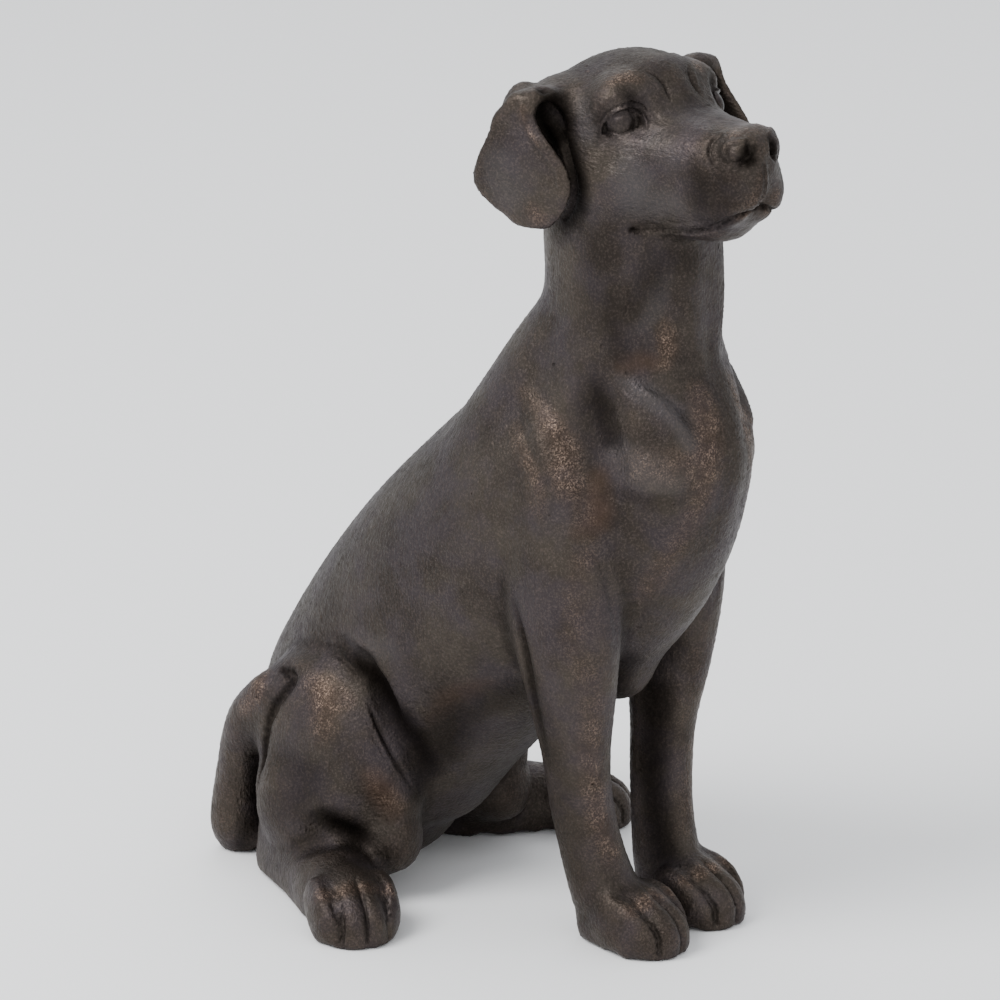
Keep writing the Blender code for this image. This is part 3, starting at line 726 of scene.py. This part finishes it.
def neighbour_mean(values, edges, count):
    """Each point's mean of its neighbours' values."""
    total = np.zeros_like(values)
    np.add.at(total, edges[:, 0], values[edges[:, 1]])
    np.add.at(total, edges[:, 1], values[edges[:, 0]])
    return total / (count[:, None] if values.ndim > 1 else count)


def smoothed(values, edges, count, rounds):
    """Each point's value after rounds of meeting its neighbours half way."""
    for _ in range(rounds):
        values = (values + neighbour_mean(values, edges, count)) / 2
    return values


def hemisphere(rays):
    """Directions spread over the half round above a surface, most of them steep."""
    golden = math.pi * (3 - math.sqrt(5))
    found = []
    for k in range(rays):
        out = math.sqrt((k + 0.5) / rays)
        found.append((out * math.cos(golden * k), out * math.sin(golden * k), math.sqrt(1 - out * out)))
    return found


def open_sky(surface, places, normals):
    """The share of each point's rays that meet no bronze."""
    rays = hemisphere(SKY_RAYS)
    found = np.empty(len(places))
    for i, (place, normal) in enumerate(zip(places, normals)):
        up = Vector(normal)
        aside = up.orthogonal().normalized()
        ahead = up.cross(aside)
        start = Vector(place) + up * SKY_RAY_START
        free = 0
        for a, b, c in rays:
            free += surface.ray_cast(start, aside * a + ahead * b + up * c, SKY_RAY_LENGTH)[0] is None
        found[i] = free / len(rays)
    return found


def by_height(height, gain, start, most):
    """What a place's height gives it, once it passes a start and up to a most."""
    return np.clip(height * gain - start, 0, most)


def store(mesh, name, values):
    """Keeps a value for each point, which the material reads by its name."""
    mesh.attributes.new(name, "FLOAT", "POINT").data.foreach_set("value", values.astype(np.float32))


def mark_wear_and_painted_light(piece):
    """Writes where the bronze is rubbed bright or warm, where shade and a grey sheen are painted, and where
    its eyeballs and head are.
    """
    mesh = piece.data
    places = read(mesh, "place")
    normals = read(mesh, "normal")
    edges = np.empty(len(mesh.edges) * 2, int)
    mesh.edges.foreach_get("vertices", edges)
    edges = edges.reshape(-1, 2)
    count = np.bincount(edges.ravel(), minlength=len(places)).astype(float)
    proud = ((places - smoothed(places, edges, count, PROUD_ROUNDS)) * normals).sum(1) / UNIT
    surface = BVHTree.FromObject(piece, bpy.context.evaluated_depsgraph_get())
    sky = smoothed(open_sky(surface, places, normals), edges, count, SKY_ROUNDS)
    paws = [row for paw in PAWS for row in both_sides([on_toes(paw)])]
    shade_strokes = both_sides(SHADE_BODY) + both_sides(SHADE_HEAD, head=True) + [SHADE_TAIL] + lid_shade_lines()
    shade_strokes += both_sides(SHADE_NOSE, head=True, aside=NOSE_ASIDE) + as_shade_lines(all_strokes())
    dark_patina_and_shade = paint(surface, places, shade_strokes)
    rub = paint(surface, places, both_sides(RUB_BODY) + both_sides(RUB_HEAD, head=True) + paws + [RUB_TAIL])
    warm = paint(surface, places, both_sides(WARM_BODY))
    painted_sheen = paint(surface, places, both_sides(SHEEN_BODY) + both_sides(SHEEN_HEAD, head=True))
    # painted shade in the hollows and where the skin sees little sky
    hollow_shade = by_height(-proud, *HOLLOW_SHADE)
    sky_shade = np.clip((SKY_ENOUGH - sky) / SKY_ENOUGH, 0, 1)
    ball = eyeballs(places)
    dark_patina_and_shade = np.clip(np.maximum.reduce((dark_patina_and_shade, hollow_shade, sky_shade)), 0, 1) * (1 - ball)
    rub = np.clip(rub + by_height(proud, *PROUD_RUB), 0, 1)
    store(mesh, "rubbed", rub * (1 - dark_patina_and_shade) * (1 - ball))
    store(mesh, "warm", np.maximum(warm, rub * RUB_WARMTH) * (1 - dark_patina_and_shade) * (1 - ball))
    store(mesh, "painted_sheen", painted_sheen)
    store(mesh, "dark_patina_and_shade", dark_patina_and_shade + EYEBALL_DARK * ball)
    store(mesh, "eyeball", ball)
    store(mesh, "on_head", np.clip((places[:, 2] / UNIT - HEAD_FROM) / HEAD_OVER, 0, 1))


def keep_in_box(piece):
    """Holds the skin inside the solid's box, so that it stands as flat as the solid."""
    write(piece.data, np.clip(read(piece.data, "place"), np.array(LOW), np.array(HIGH)))


def add_node(tree, kind, values=None, links=None, **settings):
    """Adds a node with its settings, its values and its links, each by its input's name or number."""
    made = tree.nodes.new(kind)
    for name, value in settings.items():
        setattr(made, name, value)
    for socket, value in (values or {}).items():
        made.inputs[socket].default_value = value
    for socket, source in (links or {}).items():
        tree.links.new(source, made.inputs[socket])
    return made


def patinated_bronze(look):
    """Cast bronze, chased, then patinated brown with liver of sulphur and waxed.

    The patina is thin, so the metal still shines through it softly. It is mottled where the chemical
    pooled, rubbed through to a copper colour on the high spots, painted with shade that is nearly black in
    the creases, where the patina is dark too, and painted with a grey sheen and with glints on the stipple's
    tops.
    """
    metal = bpy.data.materials.new("patinated_bronze")
    metal.use_nodes = True
    tree = metal.node_tree
    shader = tree.nodes["Principled BSDF"]
    place = add_node(tree, "ShaderNodeTexCoord").outputs["Object"]

    def mottle(size_mm, detail=3.0, roughness=0.55):
        """A cloudy pattern of a real size."""
        return add_node(
            tree,
            "ShaderNodeTexNoise",
            {"Scale": 1000 / size_mm, "Detail": detail, "Roughness": roughness},
            {"Vector": place},
        ).outputs["Fac"]

    def attribute(name):
        """What was written on the skin's points under a name."""
        return add_node(tree, "ShaderNodeAttribute", attribute_name=name).outputs["Fac"]

    def maths(kind, first, second, clamp=False):
        """Two values or outputs brought together."""
        made = add_node(tree, "ShaderNodeMath", operation=kind, use_clamp=clamp)
        for socket, value in ((0, first), (1, second)):
            if isinstance(value, (int, float)):
                made.inputs[socket].default_value = value
            else:
                tree.links.new(value, made.inputs[socket])
        return made.outputs[0]

    def ranged(value, low, high, to_low=0.0, to_high=1.0):
        """A value's range stretched to another one, and held inside it."""
        values = {"From Min": low, "From Max": high, "To Min": to_low, "To Max": to_high}
        return add_node(tree, "ShaderNodeMapRange", values, {"Value": value}).outputs[0]

    def blend(share, first, second, most=1.0):
        """One colour turned to another, by a share times the most that it may be."""
        if most < 1:
            share = maths("MULTIPLY", share, most)
        made = add_node(tree, "ShaderNodeMix", data_type="RGBA")
        tree.links.new(share, made.inputs[0])
        for socket, colour in ((6, first), (7, second)):
            if hasattr(colour, "node"):
                tree.links.new(colour, made.inputs[socket])
            else:
                made.inputs[socket].default_value = (*colour, 1)
        return made.outputs[2]

    # the patina pooled in patches of some 40 mm and 25 mm, and painted glints of 1 mm stand for the light on
    # the stipple's tops
    pooled = ranged(mottle(38, detail=4), 0.38, 0.64)
    violet = ranged(mottle(24), 0.44, 0.64)
    stipple_glint = ranged(mottle(1.2, roughness=0.7), 0.48, 0.66)
    colour = blend(pooled, look.patina, look.patina_light)
    colour = blend(violet, colour, look.patina_cool, most=0.6)
    # painted sheen: a cool grey where the light lies on the rough skin
    colour = blend(attribute("painted_sheen"), colour, look.painted_sheen_colour, most=0.7)
    colour = blend(stipple_glint, colour, look.painted_glint, most=0.2)
    colour = blend(attribute("warm"), colour, look.copper_dark)
    # the rub catches only the tops of the stipple, as a broken crackle of bright metal
    broken = ranged(mottle(0.9, detail=2, roughness=0.7), 0.48, 0.64)
    patchy = ranged(mottle(8, roughness=0.6), 0.36, 0.6)
    rub = maths("MULTIPLY", maths("MULTIPLY", attribute("rubbed"), patchy), broken, clamp=True)
    colour = blend(rub, colour, look.copper, most=0.62)
    # painted shade, nearly black, with the patina's own dark in the creases
    colour = blend(attribute("dark_patina_and_shade"), colour, look.crease, most=0.92)
    tree.links.new(colour, shader.inputs["Base Color"])

    # waxed skin has a soft sheen, the painted shade and the dark creases are dull, and the eyeballs and the
    # rubbed metal are smoother
    rough = ranged(mottle(6, detail=4), 0.3, 0.7, to_low=0.44, to_high=0.58)
    rough = maths("ADD", rough, maths("MULTIPLY", attribute("dark_patina_and_shade"), 0.3))
    rough = maths("SUBTRACT", rough, maths("MULTIPLY", attribute("eyeball"), 0.16))
    tree.links.new(maths("SUBTRACT", rough, maths("MULTIPLY", rub, 0.1)), shader.inputs["Roughness"])
    # the patina is partly an oxide that isn't metallic, and where shade and dark patina are painted it is
    # all metal, so that no grey sheen lies over its black
    metallic = maths("ADD", 0.82, maths("MULTIPLY", attribute("dark_patina_and_shade"), 0.18))
    tree.links.new(metallic, shader.inputs["Metallic"])

    def hairs(width_mm, length_mm, along):
        """A streaky pattern of a real size that runs along one axis."""
        scale = [1000 / width_mm] * 3
        scale[along] = 1000 / length_mm
        stretched = add_node(tree, "ShaderNodeMapping", {"Scale": scale}, {"Vector": place}).outputs[0]
        return add_node(
            tree,
            "ShaderNodeTexNoise",
            {"Scale": 1.0, "Detail": 2.0, "Roughness": 0.6},
            {"Vector": stretched},
        ).outputs["Fac"]

    # short strokes of a fine tool stand for hair: down the body, back along the head and lower there, and
    # none on the eyeballs
    on_the_head = attribute("on_head")
    down = hairs(width_mm=1.4, length_mm=4, along=2)
    back = hairs(width_mm=1.4, length_mm=3.2, along=1)
    coat = maths("MULTIPLY", down, maths("SUBTRACT", 1.0, on_the_head))
    coat = maths("ADD", coat, maths("MULTIPLY", back, on_the_head))
    coat = maths("ADD", coat, maths("MULTIPLY", mottle(1.8, detail=2), 0.8))
    coat = maths("MULTIPLY", coat, maths("SUBTRACT", 1.0, maths("MULTIPLY", on_the_head, 0.3)))
    coat = maths("MULTIPLY", coat, maths("SUBTRACT", 1.0, attribute("eyeball")))
    bump = add_node(tree, "ShaderNodeBump", {"Strength": 0.8, "Distance": 0.0007}, {"Height": coat})
    tree.links.new(bump.outputs[0], shader.inputs["Normal"])
    return metal


class BronzeDogLook(bpy.types.PropertyGroup):
    """The fineness of the skin, the colours of the patina, and those of its painted shade, sheen and glints.
    """

    grain: bpy.props.FloatProperty(
        name="Skin grain", description="Edge length of the modelled skin", default=0.0013, unit="LENGTH"
    )
    relief: bpy.props.FloatProperty(
        name="Stipple", description="Height of the skin's fine stipple", default=0.0005, unit="LENGTH"
    )
    triangles: bpy.props.IntProperty(
        name="Triangles", description="Most triangles that the skin may have", default=190000
    )
    patina: bpy.props.FloatVectorProperty(
        name="Patina", description="Brown of the patina", subtype="COLOR", default=linear("#2a2420")
    )
    patina_light: bpy.props.FloatVectorProperty(
        name="Light patina", description="Where the patina is thin",
        subtype="COLOR", default=linear("#39332d")
    )
    patina_cool: bpy.props.FloatVectorProperty(
        name="Cool patina", description="Where the patina turns violet grey",
        subtype="COLOR", default=linear("#383236")
    )
    # the colour of the painted sheen
    painted_sheen_colour: bpy.props.FloatVectorProperty(
        name="Grey patina", description="Where the skin is a cool grey",
        subtype="COLOR", default=linear("#4a4748")
    )
    # the colour of the painted glints on the stipple's tops
    painted_glint: bpy.props.FloatVectorProperty(
        name="Speckle", description="Tops of the stipple all over",
        subtype="COLOR", default=linear("#74665f")
    )
    copper: bpy.props.FloatVectorProperty(
        name="Rubbed bronze", description="High spots rubbed through",
        subtype="COLOR", default=linear("#ab9280")
    )
    copper_dark: bpy.props.FloatVectorProperty(
        name="Thin patina", description="Where rubbing has only warmed it",
        subtype="COLOR", default=linear("#403025")
    )
    # the colour of the painted shade, and of the patina's dark in the creases
    crease: bpy.props.FloatVectorProperty(
        name="Creases", description="Dark of the creases", subtype="COLOR", default=linear("#0f0c0a")
    )


class BRONZEDOG_OT_figure(bpy.types.Operator):
    """Model the skin of the dog around its solid and patinate it"""

    bl_idname = "bronzedog.figure"
    bl_label = "Bronze dog"

    def execute(self, context):
        look = context.scene.bronze_dog
        piece = copy_of_solid()
        # the solid's facets are rounded, and the skin gets even faces before it is carved
        apply_modifier(piece, "SUBSURF", levels=2, render_levels=2)
        apply_modifier(piece, "REMESH", mode="VOXEL", voxel_size=look.grain)
        apply_modifier(piece, "SMOOTH", factor=0.5, iterations=3)
        strokes = all_strokes()
        refine_under(piece, strokes)
        for side in (-1, 1):
            set_eye(piece, side)
        carve(piece, strokes)
        stipple(piece, look.relief)
        triangles = sum(len(face.vertices) - 2 for face in piece.data.polygons)
        apply_modifier(piece, "DECIMATE", ratio=min(1, look.triangles / triangles))
        keep_in_box(piece)
        mark_wear_and_painted_light(piece)
        activate(piece)
        bpy.ops.object.shade_smooth()
        piece.data.materials.append(patinated_bronze(look))
        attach(piece, "root")
        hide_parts(NODE)
        return {"FINISHED"}


# The camera looks down on the dog's right shoulder. Its angles are in radians, its distance in metres, and
# its target is a place on the dog.
CAMERA_HEADING = 0.92258
CAMERA_HEIGHT_ANGLE = 0.30945
CAMERA_AWAY = 2.7590
CAMERA_TARGET = (0, 3.3, 206.3)
CAMERA_LENS_MM = 198
CAMERA_SENSOR_MM = 36

# A sheet of pale matt paper, in metres, this far under the dog so that no faces meet.
PAPER_SIZE = 14
PAPER_GAP = 0.0002
PAPER_COLOUR = "#f7f7f7"
PAPER_ROUGHNESS = 0.9

# The even light of the room, a little cool.
ROOM_LIGHT = (0.9, 0.92, 0.95, 1)
ROOM_STRENGTH = 1.3

# Each light: its heading on from the camera's and its height angle in degrees, how far away it is and its
# size in metres, and its power in watts.
LIGHTS = {
    "key": (60, 48, 2.2, 1.3, 48),
    "fill": (-25, 20, 2.6, 2.0, 7),
    "back": (175, 45, 2.4, 1.4, 10),
}


def away_from(target, heading, height_angle, distance):
    """A place at a distance from a target, heading clockwise from the side that the dog faces."""
    flat = math.cos(height_angle)
    out = Vector((-math.sin(heading) * flat, -math.cos(heading) * flat, math.sin(height_angle)))
    return target + out * distance


def look_at(thing, target):
    """Turns a camera or a light to a target."""
    thing.rotation_euler = (target - thing.location).to_track_quat("-Z", "Y").to_euler()


class BRONZEDOG_OT_studio(bpy.types.Operator):
    """Put the dog on a pale floor in soft light, in front of a camera"""

    bl_idname = "bronzedog.studio"
    bl_label = "Studio"

    def execute(self, context):
        target = at(*CAMERA_TARGET)
        bpy.ops.object.select_all(action="DESELECT")
        bpy.ops.mesh.primitive_plane_add(size=PAPER_SIZE, location=(0, 0, LOW.z - PAPER_GAP))
        floor = context.object
        floor.name = "studio_floor"
        paper = bpy.data.materials.new("studio_paper")
        paper.use_nodes = True
        sheet = paper.node_tree.nodes["Principled BSDF"]
        sheet.inputs["Base Color"].default_value = (*linear(PAPER_COLOUR), 1)
        sheet.inputs["Roughness"].default_value = PAPER_ROUGHNESS
        floor.data.materials.append(paper)
        world = bpy.data.worlds.new("studio")
        world.use_nodes = True
        room = world.node_tree.nodes["Background"]
        room.inputs["Color"].default_value = ROOM_LIGHT
        room.inputs["Strength"].default_value = ROOM_STRENGTH
        context.scene.world = world
        for name, (heading, height_angle, distance, size, power) in LIGHTS.items():
            light = bpy.data.objects.new("light_" + name, bpy.data.lights.new("light_" + name, "AREA"))
            light.data.shape = "DISK"
            light.data.size = size
            light.data.energy = power
            turn = CAMERA_HEADING + math.radians(heading)
            light.location = away_from(target, turn, math.radians(height_angle), distance)
            look_at(light, target)
            context.scene.collection.objects.link(light)
        camera = bpy.data.objects.new("camera", bpy.data.cameras.new("camera"))
        camera.data.lens = CAMERA_LENS_MM
        camera.data.sensor_width = CAMERA_SENSOR_MM
        camera.location = away_from(target, CAMERA_HEADING, CAMERA_HEIGHT_ANGLE, CAMERA_AWAY)
        look_at(camera, target)
        context.scene.collection.objects.link(camera)
        context.scene.camera = camera
        return {"FINISHED"}


class BRONZEDOG_PT_panel(bpy.types.Panel):
    """Lists the look's values and the two steps"""

    bl_idname = "BRONZEDOG_PT_panel"
    bl_label = "Bronze dog"
    bl_space_type = "VIEW_3D"
    bl_region_type = "UI"
    bl_category = "Bronze dog"

    def draw(self, context):
        for name in BronzeDogLook.__annotations__:
            self.layout.prop(context.scene.bronze_dog, name)
        for step in (BRONZEDOG_OT_figure, BRONZEDOG_OT_studio):
            self.layout.operator(step.bl_idname)


CLASSES = (BronzeDogLook, BRONZEDOG_OT_figure, BRONZEDOG_OT_studio, BRONZEDOG_PT_panel)


def register():
    """Makes the classes and the look known to Blender."""
    for found in CLASSES:
        bpy.utils.register_class(found)
    bpy.types.Scene.bronze_dog = bpy.props.PointerProperty(type=BronzeDogLook)


def unregister():
    """Takes the classes and the look out again."""
    del bpy.types.Scene.bronze_dog
    for found in reversed(CLASSES):
        bpy.utils.unregister_class(found)


def main():
    """Models the dog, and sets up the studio."""
    register()
    bpy.ops.bronzedog.figure()
    bpy.ops.bronzedog.studio()


if __name__ == "__main__":
    main()
